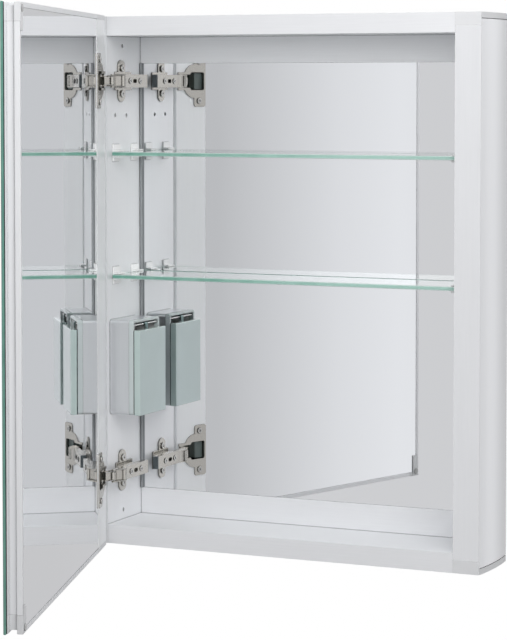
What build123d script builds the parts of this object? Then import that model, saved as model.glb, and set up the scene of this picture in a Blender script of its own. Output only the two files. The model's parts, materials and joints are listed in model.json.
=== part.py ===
from build123d import *
import os
from math import atan2, cos, degrees, hypot, radians, sin

# A wall-hung bathroom medicine cabinet: a drawn aluminium body with a mirrored back, two glass
# shelves and a door with mirror glass on both faces, hung on two concealed cup hinges.
# The door stands part open. The origin is the centre of the wall face, +X is to the right,
# +Y points into the wall and +Z is up. All sizes are in millimetres.

os.makedirs("parts", exist_ok=True)

# Cabinet body
body_width = 508.0
body_height = 660.0
body_depth = 98.0
hinge_side_width = 16.0
strike_side_width = 32.4
side_wall = 1.6
side_bow = 3.0
rail_height = 24.0
rail_wall = 1.6
rail_boss_radius = 4.0
frame_screw_radius = 1.9
frame_screw_length = 18.0
frame_screw_head_radius = 3.6
frame_screw_head = 2.4
frame_screw_setback = 25.0
cap_thickness = 7.0
cap_tongue = 15.4
cap_plug = 4.0
cap_clearance = 0.15
cap_seam = 0.8
cap_seam_depth = 0.8

# Back of the body
back_rail_height = 33.3
back_rail_wall = 1.5
back_rail_depth = 4.6
mirror_thickness = 3.0
mirror_side_gap = 1.5
back_sheet = 2.5
bead_width = 3.0
bead_depth = 4.0
hanger_width = 44.0
hanger_height = 30.0
hanger_setback = 49.8
keyhole_head_radius = 5.5
keyhole_slot_radius = 2.6
keyhole_slot_length = 10.0
hanger_thickness = 1.5
hanger_corner = 3.0
hanger_window = (24.0, 22.0)
rivet_radius = 1.6
rivet_head_radius = 2.6
rivet_offset = 17.0
rivet_head = 0.9
side_hole_radius = 2.6
side_hole_setback = 42.0
side_hole_drop = 36.0

# Shelves and their clips
shelf_thickness = 5.0
shelf_setback = 9.0
shelf_back_gap = 4.5
shelf_edge_chamfer = 0.6
shelf_clip_play = 0.2
shelf_shares = (0.2591, 0.492)
clip_setback_front = 23.0
clip_setback_back = 25.0
clip_width = 18.0
clip_plate = 2.2
clip_reach = 9.0
clip_ledge = 2.5
clip_jaw = 1.8
clip_rise = 9.0
clip_fall = 7.0
clip_peg_radius = 2.4
clip_peg_length = 7.0
clip_hole_play = 0.1
spare_hole_drop = 123.0
spare_hole_pitch = 30.0

# Door
door_overhang = 1.0
door_height = body_height + 2 * door_overhang
door_width = body_width + 2 * door_overhang
door_gap = 2.0
frame_thickness = 17.0
stile_beyond_cup = 3.0
hinge_stile_ledge = 7.0
door_rail_width = 20.0
door_lip = 5.5
door_wall = 1.5
groove_depth = 3.8
groove_near = 6.3
groove_far = 16.2
groove_slope = 0.9
stile_edge_radius = 3.0
stile_cap = 6.0
stile_cap_plug = 5.0
tab_length = 30.0
tab_width = 13.0
tab_thickness = 0.8
bumper_radius = 4.0
bumper_height = 0.9
inner_mirror_thickness = 3.0
inner_mirror_recess = 0.5
backing_thickness = 0.8
outer_mirror_thickness = 3.2
outer_mirror_overhang = 1.0
glass_chamfer = 0.6
fit_gap = 0.15

# Hinge linkage, drawn with the door closed, from the hinge side's front outer corner:
# x runs across the cabinet and y runs back into it.
open_angle = 71.8
long_link_arm = (36.0, 5.8)
long_link_cup = (9.0, -5.8)
long_link_ratio = 0.332
short_link_arm = (29.2, -9.0)
short_link_cup = (11.0, -11.0)
short_link_ratio = 0.292
short_link_shift = (0.9, 0.97)

# Hinge pieces
hinge_drop = 80.0
hinge_rise = 87.4
pin_radius = 1.5
nose_pin_radius = 1.3
nose_play = 1.5
pin_play = 0.05
cup_setback = 36.5
cup_radius = 17.5
cup_wall = 0.8
cup_depth = 13.8
cup_pocket_near = 5.6
cup_pocket_half = 9.6
cup_mouth_start = 27.0
cup_mouth_end = 54.6
cup_mouth_half = 12.6
cup_mouth_corner = 3.5
cup_flange = 1.2
cup_flange_edge = 0.4
cup_flange_half = 33.8
cup_flange_bar = 21.5
cup_flange_rim = 5.0
cup_pocket_rim = 2.2
cup_mouth_notch = 12.0
cup_screw_setback = 44.0
cup_screw_half = 26.0
cup_screw_radius = 2.0
cup_screw_head_radius = 3.8
cup_screw_head = 1.6
cup_screw_length = 9.0
liner_start = 38.5
liner_end = 53.0
liner_half = 10.8
liner_corner = 2.0
liner_thickness = 10.5
link_half_width = 6.6
link_cheek = 1.6
link_bar = 2.2
link_eye_radius = 2.9
link_web_start = 19.5
link_hook = ((3.0, -3.6), (6.4, -3.5), (9.6, -1.6), (12.2, 0.4), (14.5, 0.6))
short_half_width = 4.6
short_plate = 1.5
short_eye_radius = 2.6
short_nose_wall = 0.9
short_hook = ((10.2, -4.4),)
arm_half_width = 8.2
arm_wall = 1.4
arm_start = 18.0
arm_end = 78.0
arm_low = 25.5
arm_high = 33.0
arm_nose_radius = 2.8
arm_open = 12.0
arm_screw_setbacks = (31.0, 58.0)
arm_screw_radius = 2.0
arm_screw_head_radius = 3.4
arm_screw_head = 1.2
arm_slot_setback = 44.0
arm_slot_length = 10.0
arm_slot_width = 5.0
arm_cover_length = 5.0
plate_setback = 37.0
plate_base = 2.0
plate_half = 26.0
plate_width = 18.0
plate_screw_half = 16.0
plate_screw_radius = 2.5
plate_screw_head_radius = 4.2
plate_screw_head = 2.0
plate_screw_length = 9.0
plate_rail_start = 20.0
plate_rail_end = 63.0
plate_skirt = 3.0
plate_rail_height = 12.0
plate_rail_wall = 1.6

# Box on the hinge-side wall
box_setback = 6.0
box_depth = 71.5
box_bottom = 162.0
box_height = 119.0
box_shell_width = 27.0
box_rim_width = 6.5
box_wall = 1.4
box_corner_radius = 4.0
box_rim_wall = 3.0
box_glass_thickness = 8.7
box_glass_height = 107.0
box_glass_gap = 0.4
box_pin_radius = 1.2
box_pin_drop = 6.4
box_pin_hold = 1.6
box_strap_width = 7.0
box_strap = 1.2
box_eye_radius = 2.4
box_strap_lap = 12.0
box_screw_half = 30.0
box_screw_radius = 2.0
box_screw_head_radius = 3.8
box_screw_head = 2.0
box_screw_length = 8.0

# Places worked out from the sizes
left = -body_width / 2
right = body_width / 2
front = -body_depth
bottom = -body_height / 2
top = body_height / 2
inner_left = left + hinge_side_width
inner_right = right - strike_side_width
inner_width = inner_right - inner_left
soffit = top - rail_height
floor = bottom + rail_height
mirror_bottom = floor + back_rail_height
mirror_top = soffit - back_rail_height
sheet_front = -back_sheet
mirror_front = sheet_front - mirror_thickness
rail_front = sheet_front - back_rail_depth
shelf_levels = [top - share * body_height for share in shelf_shares]
peg_levels = [level - shelf_thickness / 2 - clip_fall / 2 for level in shelf_levels]
clip_rows = (front + clip_setback_front, -clip_setback_back)
spare_rows = (clip_rows[0], clip_rows[0] + spare_hole_pitch)
spare_level = top - spare_hole_drop
side_hole_levels = (top - side_hole_drop, bottom + side_hole_drop)
hinge_names = ("upper", "lower")
hinge_levels = (top - hinge_drop, bottom + hinge_rise)
port_levels = (soffit + rail_wall + rail_boss_radius, floor - rail_wall - rail_boss_radius)
port_rows = (front + frame_screw_setback, -frame_screw_setback)
plate_y = front + plate_setback
box_y = front + box_setback + box_depth / 2
box_low = bottom + box_bottom
box_high = box_low + box_height
box_z = (box_low + box_high) / 2
box_rim_x = inner_left + box_shell_width
box_glass_x = box_rim_x + box_rim_width + box_glass_gap
box_glass_top = box_low + box_glass_height
box_pin_x = box_rim_x + box_rim_width - box_eye_radius
box_pin_z = box_high - box_pin_drop
frame_half = door_height / 2
mirror_back = -(inner_mirror_thickness + inner_mirror_recess)
hinge_stile_width = cup_setback + cup_radius + stile_beyond_cup
cup_flange_reach = hinge_stile_width - cup_flange_edge
arm_inner_half = arm_half_width - arm_wall


def save(piece, name):
    """Label a finished piece and write it."""
    piece.part.label = name
    export_step(piece.part, f"parts/{name}.step")


def turn(vector, degrees):
    """Turn a plan vector about the vertical."""
    c, s = cos(radians(degrees)), sin(radians(degrees))
    return (vector[0] * c - vector[1] * s, vector[0] * s + vector[1] * c)


def plus(a, b):
    """Add two plan vectors."""
    return (a[0] + b[0], a[1] + b[1])


def minus(a, b):
    """Subtract one plan vector from another."""
    return (a[0] - b[0], a[1] - b[1])


def in_body(point):
    """Move a plan point from the hinge drawing into the cabinet's frame."""
    return (left + point[0], front + point[1])


# The linkage at rest. The long link turns about its arm pin and carries the door at its cup
# pin, so the open door's corner and direction follow from the two pins and the open angle.
closed_corner = (-door_overhang, -door_gap)
cup_pin_across, cup_pin_inward = minus(long_link_cup, closed_corner)
rod_across, rod_inward = minus(short_link_cup, closed_corner)
long_span = minus(long_link_arm, long_link_cup)
short_span = minus(plus(short_link_arm, short_link_shift), short_link_cup)
cup_pin = minus(long_link_arm, turn(long_span, long_link_ratio * open_angle))
door_corner = plus(cup_pin, turn(minus(closed_corner, long_link_cup), -open_angle))
rod_pin = plus(cup_pin, turn(minus(short_link_cup, long_link_cup), -open_angle))
long_length = hypot(*long_span)
short_length = hypot(*short_span)
door_x = turn((1, 0), -open_angle)
door_y = turn((0, 1), -open_angle)


def level_plane(origin, direction, level):
    """A level plane whose x runs along a plan direction."""
    return Plane(origin=(*in_body(origin), level), x_dir=(*direction, 0), z_dir=(0, 0, 1))


def door_place(across, inward):
    """A plan point given across the door and inward from its inner face."""
    x = door_corner[0] + across * door_x[0] + inward * door_y[0]
    y = door_corner[1] + across * door_x[1] + inward * door_y[1]
    return (x, y)


def door_plan(level):
    """A level plane with x across the door and y inward from its inner face."""
    return level_plane(door_corner, door_x, level)


def door_face(inward):
    """A plane on the door that faces out of its mirror, with x across the door and y up."""
    origin = (*in_body(door_place(0, inward)), 0)
    return Plane(origin=origin, x_dir=(*door_x, 0), z_dir=(-door_y[0], -door_y[1], 0))


def door_section(across):
    """A plane across the door, with x inward from its inner face and y up."""
    origin = (*in_body(door_place(across, 0)), 0)
    return Plane(origin=origin, x_dir=(*door_y, 0), z_dir=(*door_x, 0))


def span(low, high):
    """The middle and the length between two values."""
    return ((low + high) / 2, high - low)


def block(x, y):
    """Draw a rectangle between two x and two y values."""
    (mid_x, wide), (mid_y, tall) = span(*x), span(*y)
    with Locations((mid_x, mid_y)):
        Rectangle(wide, tall)


def cut_block(x, y):
    """Cut a rectangle between two x and two y values out of a sketch."""
    (mid_x, wide), (mid_y, tall) = span(*x), span(*y)
    with Locations((mid_x, mid_y)):
        Rectangle(wide, tall, mode=Mode.SUBTRACT)


# Sides of the body

def side_outline(outer, inner, inset, mode=Mode.ADD):
    """Draw a side panel's bowed section, drawn in by an inset."""
    away = 1 if outer > inner else -1
    edge = outer - away * inset
    near = inner + away * inset
    with BuildLine(mode=Mode.PRIVATE) as outline:
        ThreePointArc((edge, front + inset), (edge + away * side_bow, front / 2), (edge, -inset))
        Polyline((edge, -inset), (near, -inset), (near, front + inset), (edge, front + inset))
    make_face(outline.edges(), mode=mode)


panel_half = top - cap_thickness
tongue_level = top - cap_tongue
side_faces = ((left, inner_left, "left"), (right, inner_right, "right"))

for outer, inner, name in side_faces:
    toward = 1 if inner > outer else -1
    with BuildPart() as side_panel:
        with BuildSketch(Plane.XY.offset(-panel_half)):
            side_outline(outer, inner, 0)
            side_outline(outer, inner, side_wall, mode=Mode.SUBTRACT)
        extrude(amount=2 * panel_half)
        # Notches that the end caps' front tongues fill
        for low, high in ((tongue_level, panel_half), (-panel_half, -tongue_level)):
            with BuildSketch(Plane.XY.offset(low)):
                block(sorted((outer, inner)), (front, front + side_wall))
            extrude(amount=high - low, mode=Mode.SUBTRACT)
        # A narrow step round each end that leaves a shadow line under the cap
        for low, high in ((panel_half - cap_seam, panel_half), (-panel_half, cap_seam - panel_half)):
            with BuildSketch(Plane.XY.offset(low)):
                side_outline(outer, inner, 0)
                side_outline(outer, inner, cap_seam_depth, mode=Mode.SUBTRACT)
            extrude(amount=high - low, mode=Mode.SUBTRACT)
        # Holes in the inner wall: two for screws into a wall beside it, those for the shelf
        # clips with one spare row, and those that hold what is screwed to it
        with BuildSketch(Plane.YZ.offset(inner)):
            with Locations(*[(front + side_hole_setback, z) for z in side_hole_levels]):
                Circle(side_hole_radius)
            with Locations(*[(y, z) for y in clip_rows for z in peg_levels]):
                Circle(clip_peg_radius + clip_hole_play)
            with Locations(*[(y, spare_level) for y in spare_rows]):
                Circle(clip_peg_radius + clip_hole_play)
            with Locations(*[(y, z) for y in port_rows for z in port_levels]):
                Circle(frame_screw_radius + pin_play)
            if name == "left":
                with Locations(*[(plate_y, z + dz) for z in hinge_levels
                                 for dz in (-plate_screw_half, plate_screw_half)]):
                    Circle(plate_screw_radius + pin_play)
                with Locations((box_y, box_z - box_screw_half), (box_y, box_z + box_screw_half)):
                    Circle(box_screw_radius + pin_play)
        extrude(amount=-toward * side_wall, mode=Mode.SUBTRACT)
    save(side_panel, f"side_panel_{name}")

# End caps: a plate over each end of a side, with a tongue down its front and a plug inside it
for outer, inner, side in side_faces:
    for end, name in ((1, "top"), (-1, "bottom")):
        with BuildPart() as end_cap:
            with BuildSketch(Plane.XY.offset(end * panel_half)):
                side_outline(outer, inner, 0)
            extrude(amount=end * cap_thickness)
            with BuildSketch(Plane.XY.offset(end * panel_half)):
                block(sorted((outer, inner)), (front, front + side_wall))
            extrude(amount=end * (tongue_level - panel_half))
            with BuildSketch(Plane.XY.offset(end * panel_half)):
                side_outline(outer, inner, side_wall + cap_clearance)
            extrude(amount=-end * cap_plug)
        save(end_cap, f"end_cap_{name}_{side}")

# Top and bottom of the body: hollow, with screw ports along the inside
for low, high, port, name in ((soffit, top, port_levels[0], "top_panel"),
                              (bottom, floor, port_levels[1], "bottom_panel")):
    face = soffit + rail_wall if name == "top_panel" else floor - rail_wall
    with BuildPart() as rail:
        with BuildSketch(Plane.YZ.offset(inner_left)):
            block((front, 0), (low, high))
            cut_block((front + rail_wall, -rail_wall), (low + rail_wall, high - rail_wall))
            for y in port_rows:
                with Locations((y, port)):
                    Circle(rail_boss_radius)
                block((y - rail_boss_radius, y + rail_boss_radius), sorted((face, port)))
                with Locations((y, port)):
                    Circle(frame_screw_radius + pin_play, mode=Mode.SUBTRACT)
        extrude(amount=inner_width)
    save(rail, name)

# Screws that hold the sides to the top and bottom
with BuildPart() as frame_screws:
    for x, toward in ((inner_left, 1), (inner_right, -1)):
        with BuildSketch(Plane.YZ.offset(x - toward * side_wall)):
            with Locations(*[(y, z) for y in port_rows for z in port_levels]):
                Circle(frame_screw_head_radius)
        extrude(amount=-toward * frame_screw_head)
        with BuildSketch(Plane.YZ.offset(x - toward * side_wall)):
            with Locations(*[(y, z) for y in port_rows for z in port_levels]):
                Circle(frame_screw_radius)
        extrude(amount=toward * frame_screw_length)
save(frame_screws, "frame_screws")

# Back of the body: two channels hold the mirror between them, in front of a plain sheet
for low, high, name in ((mirror_top, soffit, "upper"), (floor, mirror_bottom, "lower")):
    with BuildPart() as back_rail:
        with BuildSketch(Plane.YZ.offset(inner_left)):
            block((rail_front, sheet_front), (low, high))
            cut_block((rail_front + back_rail_wall, sheet_front),
                      (low + back_rail_wall, high - back_rail_wall))
        extrude(amount=inner_width)
    save(back_rail, f"back_rail_{name}")

hanger_places = [(x, (mirror_top + soffit) / 2)
                 for x in (inner_left + hanger_setback, inner_right - hanger_setback)]
rivet_places = [(x + dx, z) for x, z in hanger_places for dx in (-rivet_offset, rivet_offset)]


def keyhole():
    """Draw a keyhole with its round entry low and its slot going up."""
    with BuildSketch(mode=Mode.PRIVATE) as shape:
        with Locations((0, -keyhole_slot_length / 2)):
            Circle(keyhole_head_radius)
        block((-keyhole_slot_radius, keyhole_slot_radius),
              (-keyhole_slot_length / 2, keyhole_slot_length / 2))
        with Locations((0, keyhole_slot_length / 2)):
            Circle(keyhole_slot_radius)
    return shape.sketch


with BuildPart() as back_board:
    with BuildSketch(Plane.XZ):
        block((inner_left, inner_right), (floor, soffit))
        with Locations(*hanger_places):
            Rectangle(*hanger_window, mode=Mode.SUBTRACT)
        with Locations(*rivet_places):
            Circle(rivet_radius + pin_play, mode=Mode.SUBTRACT)
    extrude(amount=back_sheet)
    # Pockets that let the hanger plates in flush with the wall face
    with BuildSketch(Plane.XZ):
        with Locations(*hanger_places):
            RectangleRounded(hanger_width + 2 * fit_gap, hanger_height + 2 * fit_gap, hanger_corner)
    extrude(amount=hanger_thickness, mode=Mode.SUBTRACT)
save(back_board, "back_board")

for (x, z), name in zip(hanger_places, ("left", "right")):
    with BuildPart() as hanger_plate:
        with BuildSketch(Plane.XZ):
            with Locations((x, z)):
                RectangleRounded(hanger_width, hanger_height, hanger_corner)
                add(keyhole(), mode=Mode.SUBTRACT)
            with Locations(*[(x + dx, z) for dx in (-rivet_offset, rivet_offset)]):
                Circle(rivet_radius + pin_play, mode=Mode.SUBTRACT)
        extrude(amount=hanger_thickness)
    save(hanger_plate, f"hanger_plate_{name}")

# Rivets that hold the hanger plates to the sheet, with their heads inside the channel
with BuildPart() as hanger_rivets:
    with BuildSketch(Plane.XZ):
        with Locations(*rivet_places):
            Circle(rivet_radius)
    extrude(amount=-sheet_front)
    with BuildSketch(Plane.XZ.offset(-sheet_front)):
        with Locations(*rivet_places):
            Circle(rivet_head_radius)
    extrude(amount=rivet_head)
save(hanger_rivets, "hanger_rivets")

with BuildPart() as back_mirror:
    with BuildSketch(Plane.XZ.offset(-sheet_front)):
        block((inner_left + mirror_side_gap, inner_right - mirror_side_gap),
              (mirror_bottom, mirror_top))
    extrude(amount=mirror_thickness)
save(back_mirror, "back_mirror")

for x, toward, name in ((inner_left, 1, "left"), (inner_right, -1, "right")):
    with BuildPart() as mirror_bead:
        with BuildSketch(Plane.XY.offset(mirror_bottom)):
            block(sorted((x, x + toward * bead_width)), (mirror_front - bead_depth, mirror_front))
        extrude(amount=mirror_top - mirror_bottom)
    save(mirror_bead, f"mirror_bead_{name}")

# Shelves: plain glass, resting on clips that push into the sides
shelf_ends = (inner_left + clip_plate + shelf_clip_play, inner_right - clip_plate - shelf_clip_play)
shelf_rows = (front + shelf_setback, mirror_front - shelf_back_gap)

for level, name in zip(shelf_levels, ("upper", "lower")):
    with BuildPart() as shelf:
        with BuildSketch(Plane.XY.offset(level - shelf_thickness / 2)):
            block(shelf_ends, shelf_rows)
        extrude(amount=shelf_thickness)
        chamfer(shelf.edges(), shelf_edge_chamfer)
    save(shelf, f"shelf_{name}")

with BuildPart() as shelf_clips:
    for x, toward in ((inner_left, 1), (inner_right, -1)):
        for level, peg in zip(shelf_levels, peg_levels):
            glass_low = level - shelf_thickness / 2
            glass_high = level + shelf_thickness / 2 + shelf_clip_play
            for low, high, reach in ((glass_low - clip_fall, glass_high + clip_rise, clip_plate),
                                     (glass_low - clip_ledge, glass_low, clip_reach),
                                     (glass_high, glass_high + clip_jaw, clip_reach)):
                with BuildSketch(Plane.YZ.offset(x)):
                    with Locations(*[(y, (low + high) / 2) for y in clip_rows]):
                        Rectangle(clip_width, high - low)
                extrude(amount=toward * reach)
            with BuildSketch(Plane.YZ.offset(x)):
                with Locations(*[(y, peg) for y in clip_rows]):
                    Circle(clip_peg_radius)
            extrude(amount=-toward * clip_peg_length)
save(shelf_clips, "shelf_clips")

# Hinges, the side on the body: a plate on the wall and an arm clipped over its rail

arm_high_x = arm_high - hinge_side_width

for level, name in zip(hinge_levels, hinge_names):
    with BuildPart() as hinge_plate:
        with BuildSketch(Plane.YZ.offset(inner_left)):
            with Locations((plate_y, level)):
                RectangleRounded(plate_width, 2 * plate_half, plate_width / 2 - 1)
            block((front + plate_rail_start, front + plate_rail_end),
                  (level - arm_half_width - plate_skirt, level + arm_half_width + plate_skirt))
            with Locations((plate_y, level - plate_screw_half), (plate_y, level + plate_screw_half)):
                Circle(plate_screw_radius + pin_play, mode=Mode.SUBTRACT)
        extrude(amount=plate_base)
        with BuildSketch(Plane.YZ.offset(inner_left + plate_base)):
            block((front + plate_rail_start, front + plate_rail_end),
                  (level - arm_inner_half, level + arm_inner_half))
        extrude(amount=plate_rail_height - plate_base)
        with BuildSketch(Plane.YZ.offset(inner_left + plate_base)):
            block((front + plate_rail_start + plate_rail_wall, front + plate_rail_end - plate_rail_wall),
                  (level - arm_inner_half + plate_rail_wall, level + arm_inner_half - plate_rail_wall))
        extrude(amount=plate_rail_height - plate_base - plate_rail_wall, mode=Mode.SUBTRACT)
        with BuildSketch(Plane.YZ.offset(inner_left + plate_rail_height)):
            with Locations(*[(front + y, level) for y in arm_screw_setbacks]):
                Circle(arm_screw_radius + pin_play)
        extrude(amount=-plate_rail_wall, mode=Mode.SUBTRACT)
    save(hinge_plate, f"hinge_plate_{name}")

with BuildPart() as plate_screws:
    screw_places = [(plate_y, z + dz) for z in hinge_levels
                    for dz in (-plate_screw_half, plate_screw_half)]
    with BuildSketch(Plane.YZ.offset(inner_left + plate_base)):
        with Locations(*screw_places):
            Circle(plate_screw_head_radius)
    extrude(amount=plate_screw_head)
    with BuildSketch(Plane.YZ.offset(inner_left + plate_base)):
        with Locations(*screw_places):
            Circle(plate_screw_radius)
    extrude(amount=-plate_screw_length)
save(plate_screws, "plate_screws")

for level, name in zip(hinge_levels, hinge_names):
    with BuildPart() as hinge_arm:
        # The body of the arm over the rail
        with BuildSketch(level_plane((0, 0), (1, 0), level - arm_half_width)):
            block((arm_low, arm_high), (arm_start, arm_end))
        extrude(amount=2 * arm_half_width)
        # The nose that holds both arm pins and dips into the door when it is closed
        with BuildSketch(level_plane((0, 0), (1, 0), level - arm_half_width)):
            with Locations(long_link_arm, short_link_arm):
                Circle(arm_nose_radius)
            with Locations((arm_low + 1, arm_start + 1), (arm_high - 1, arm_start + 1)):
                Circle(1)
            make_hull()
        extrude(amount=2 * arm_half_width)
        # The channel between its cheeks
        with BuildSketch(level_plane((0, 0), (1, 0), level - arm_inner_half)):
            with BuildLine():
                Polyline((0, 2 * short_link_arm[1]), (2 * arm_high, 2 * short_link_arm[1]),
                         (2 * arm_high, arm_open), (arm_high - arm_wall, arm_open),
                         (arm_high - arm_wall, arm_end + 1), (0, arm_end + 1),
                         (0, 2 * short_link_arm[1]))
            make_face()
        extrude(amount=2 * arm_inner_half, mode=Mode.SUBTRACT)
        with BuildSketch(level_plane((0, 0), (1, 0), level - arm_half_width)):
            with Locations(long_link_arm):
                Circle(pin_radius + pin_play)
            with Locations(short_link_arm):
                Circle(nose_pin_radius + pin_play)
        extrude(amount=2 * arm_half_width, mode=Mode.SUBTRACT)
        with BuildSketch(Plane.YZ.offset(left + arm_high)):
            with Locations(*[(front + y, level) for y in arm_screw_setbacks]):
                Circle(arm_screw_radius + pin_play)
            with Locations((front + arm_slot_setback, level)):
                SlotOverall(arm_slot_length, arm_slot_width)
        extrude(amount=-arm_wall, mode=Mode.SUBTRACT)
    save(hinge_arm, f"hinge_arm_{name}")

with BuildPart() as arm_screws:
    screw_places = [(front + y, z) for y in arm_screw_setbacks for z in hinge_levels]
    with BuildSketch(Plane.YZ.offset(left + arm_high)):
        with Locations(*screw_places):
            Circle(arm_screw_head_radius)
    extrude(amount=arm_screw_head)
    with BuildSketch(Plane.YZ.offset(left + arm_high)):
        with Locations(*screw_places):
            Circle(arm_screw_radius)
    extrude(amount=-(arm_high_x - plate_rail_height + 2 * plate_rail_wall))
save(arm_screws, "arm_screws")

# Plastic covers on the rear ends of the arms
with BuildPart() as arm_covers:
    for level in hinge_levels:
        with BuildSketch(level_plane((0, 0), (1, 0), level - arm_inner_half)):
            block((arm_low, arm_high - arm_wall), (arm_end - arm_cover_length, arm_end))
        extrude(amount=2 * arm_inner_half)
        with BuildSketch(level_plane((0, 0), (1, 0), level - arm_half_width)):
            block((arm_low, arm_high), (arm_end, arm_end + arm_wall))
        extrude(amount=2 * arm_half_width)
save(arm_covers, "arm_covers")

with BuildPart() as arm_pins:
    for level in hinge_levels:
        with BuildSketch(level_plane(long_link_arm, (1, 0), level - arm_half_width)):
            Circle(pin_radius)
        extrude(amount=2 * arm_half_width)
save(arm_pins, "arm_pins")

with BuildPart() as nose_pins:
    for level in hinge_levels:
        with BuildSketch(level_plane(short_link_arm, (1, 0), level - arm_half_width)):
            Circle(nose_pin_radius)
        extrude(amount=2 * arm_half_width)
save(nose_pins, "nose_pins")


def bar(points, width):
    """Draw a bent bar through some points, with round ends."""
    for (x0, y0), (x1, y1) in zip(points, points[1:]):
        with Locations(((x0 + x1) / 2, (y0 + y1) / 2)):
            SlotCenterToCenter(hypot(x1 - x0, y1 - y0), width,
                               rotation=degrees(atan2(y1 - y0, x1 - x0)))


# Hinges, the links between the arm and the door. Each link is drawn from its pin on the door
# towards the arm and is bent near the door, so that it passes the door's edge when open.
long_plane = (cup_pin, turn((long_span[0] / long_length, long_span[1] / long_length),
                            long_link_ratio * open_angle))
short_plane = (rod_pin, turn((short_span[0] / short_length, short_span[1] / short_length),
                             short_link_ratio * open_angle))

for level, name in zip(hinge_levels, hinge_names):
    with BuildPart() as long_link:
        for low in (level - link_half_width, level + link_half_width - link_cheek):
            with BuildSketch(level_plane(*long_plane, low)):
                Circle(link_eye_radius)
                bar(((0, 0), *link_hook, (long_length, 0)), link_bar)
            extrude(amount=link_cheek)
        with BuildSketch(level_plane(*long_plane, level - link_half_width)):
            bar(((link_web_start, 0), (long_length, 0)), link_bar)
            with Locations((long_length, 0)):
                Circle(link_eye_radius)
        extrude(amount=2 * link_half_width)
        with BuildSketch(level_plane(*long_plane, level - link_half_width)):
            with Locations((0, 0), (long_length, 0)):
                Circle(pin_radius + pin_play)
        extrude(amount=2 * link_half_width, mode=Mode.SUBTRACT)
    save(long_link, f"long_link_{name}")

for level, name in zip(hinge_levels, hinge_names):
    with BuildPart() as short_link:
        with BuildSketch(level_plane(*short_plane, level - short_half_width)):
            Circle(short_eye_radius)
            bar(((0, 0), *short_hook, (short_length, 0)), short_plate)
            with Locations((short_length, 0)):
                Circle(nose_pin_radius + nose_play + short_nose_wall)
        extrude(amount=2 * short_half_width)
        with BuildSketch(level_plane(*short_plane, level - short_half_width)):
            Circle(pin_radius + pin_play)
            with Locations((short_length, 0)):
                Circle(nose_pin_radius + nose_play)
        extrude(amount=2 * short_half_width, mode=Mode.SUBTRACT)
    save(short_link, f"short_link_{name}")

# Hinges, the side on the door: a cup let into the stile, with a pocket for the links' pins
pocket_half_in = cup_pocket_half - cup_wall


def cup_mouth(level, grow):
    """Draw the cup's mouth, grown by a margin: a rounded oblong and a narrower way out to its pins."""
    block((cup_pocket_near - grow, cup_setback),
          (level - cup_pocket_half - grow, level + cup_pocket_half + grow))
    middle, length = span(cup_mouth_start, cup_mouth_end)
    with Locations((middle, level)):
        RectangleRounded(length + 2 * grow, 2 * (cup_mouth_half + grow), cup_mouth_corner + grow)


def cup_outline(level, grow):
    """Draw the outline of the whole cup, grown by a margin: its round and its mouth."""
    with Locations((cup_setback, level)):
        Circle(cup_radius + grow)
    cup_mouth(level, grow)


for level, name in zip(hinge_levels, hinge_names):
    with BuildPart() as hinge_cup:
        with BuildSketch(door_face(0)):
            cup_outline(level, 0)
        extrude(amount=cup_depth)
        with BuildSketch(door_face(0)):
            cup_outline(level, -cup_wall)
        extrude(amount=cup_depth - cup_wall, mode=Mode.SUBTRACT)
        # The flange covers the cup's round but for its mouth, and ends at the door's mirror
        with BuildSketch(door_face(cup_flange)):
            with Locations((cup_setback, level)):
                Circle(cup_radius + cup_flange_rim)
            cut_block((cup_flange_reach, 2 * cup_flange_reach), (level - cup_flange_half, level + cup_flange_half))
            block((cup_pocket_near - cup_wall, cup_setback),
                  (level - cup_pocket_half - cup_pocket_rim, level + cup_pocket_half + cup_pocket_rim))
            with Locations((cup_flange_reach - cup_flange_bar / 2, level)):
                RectangleRounded(cup_flange_bar, 2 * cup_flange_half, cup_mouth_corner)
        extrude(amount=cup_flange)
        with BuildSketch(door_face(cup_flange)):
            cup_mouth(level, -cup_wall)
        extrude(amount=cup_flange, mode=Mode.SUBTRACT)
        with BuildSketch(door_face(cup_flange)):
            block((0, cup_mouth_notch), (level - pocket_half_in, level + pocket_half_in))
        extrude(amount=cup_flange, mode=Mode.SUBTRACT)
        with BuildSketch(door_plan(level - cup_pocket_half)):
            with Locations((cup_pin_across, cup_pin_inward), (rod_across, rod_inward)):
                Circle(pin_radius + pin_play)
        extrude(amount=2 * cup_pocket_half, mode=Mode.SUBTRACT)
        with BuildSketch(door_face(cup_flange)):
            with Locations((cup_screw_setback, level - cup_screw_half),
                           (cup_screw_setback, level + cup_screw_half)):
                Circle(cup_screw_radius + pin_play)
        extrude(amount=cup_flange, mode=Mode.SUBTRACT)
    save(hinge_cup, f"hinge_cup_{name}")

# Two short pins carry the long link in each cup, and a rod right across carries the short one
with BuildPart() as cup_pins:
    for level in hinge_levels:
        for low in (level - cup_pocket_half, level + link_half_width - link_cheek):
            with BuildSketch(door_plan(low)):
                with Locations((cup_pin_across, cup_pin_inward)):
                    Circle(pin_radius)
            extrude(amount=cup_pocket_half - link_half_width + link_cheek)
save(cup_pins, "cup_pins")

with BuildPart() as cup_rods:
    for level in hinge_levels:
        with BuildSketch(door_plan(level - cup_pocket_half)):
            with Locations((rod_across, rod_inward)):
                Circle(pin_radius)
        extrude(amount=2 * cup_pocket_half)
save(cup_rods, "cup_rods")

# Plastic housings that fill the far end of the cups
with BuildPart() as cup_liners:
    for level in hinge_levels:
        with BuildSketch(door_face(-cup_depth + cup_wall + liner_thickness)):
            with Locations(((liner_start + liner_end) / 2, level)):
                RectangleRounded(liner_end - liner_start, 2 * liner_half, liner_corner)
        extrude(amount=liner_thickness)
save(cup_liners, "cup_liners")

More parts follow.
